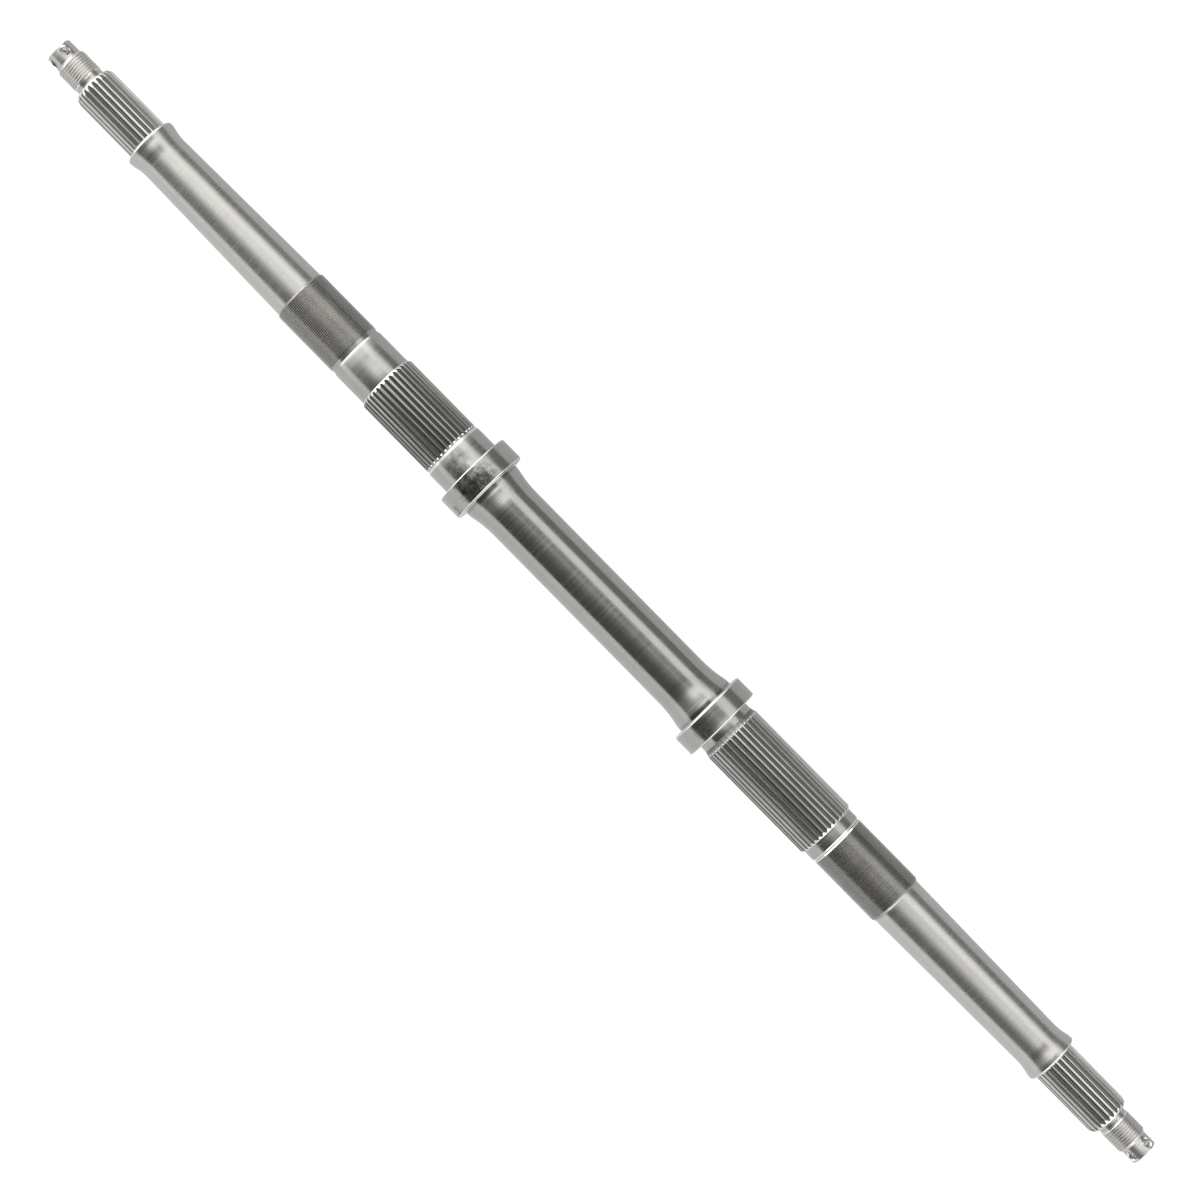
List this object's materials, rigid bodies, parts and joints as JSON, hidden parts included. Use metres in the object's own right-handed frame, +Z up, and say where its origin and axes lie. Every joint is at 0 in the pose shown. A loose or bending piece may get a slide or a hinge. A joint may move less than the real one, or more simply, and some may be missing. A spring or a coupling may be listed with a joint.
{
  "type": "splined axle shaft",
  "caption": "Solid steel axle with splined and threaded hub ends, splines inboard of its locknut threads, and a bearing seat with two collars in the middle.",
  "frame": {"origin": "on the shaft's axis, halfway between the two end faces", "axes": "+X along the shaft from the left hub end to the right hub end, +Z up"},
  "size_m": [0.802, 0.0448, 0.045],
  "materials": {
    "turned_steel": "bare turned and ground steel, lightly oiled"
  },
  "bodies": {
    "root": {"axle_shaft": "turned_steel"}
  },
  "joints": []
}
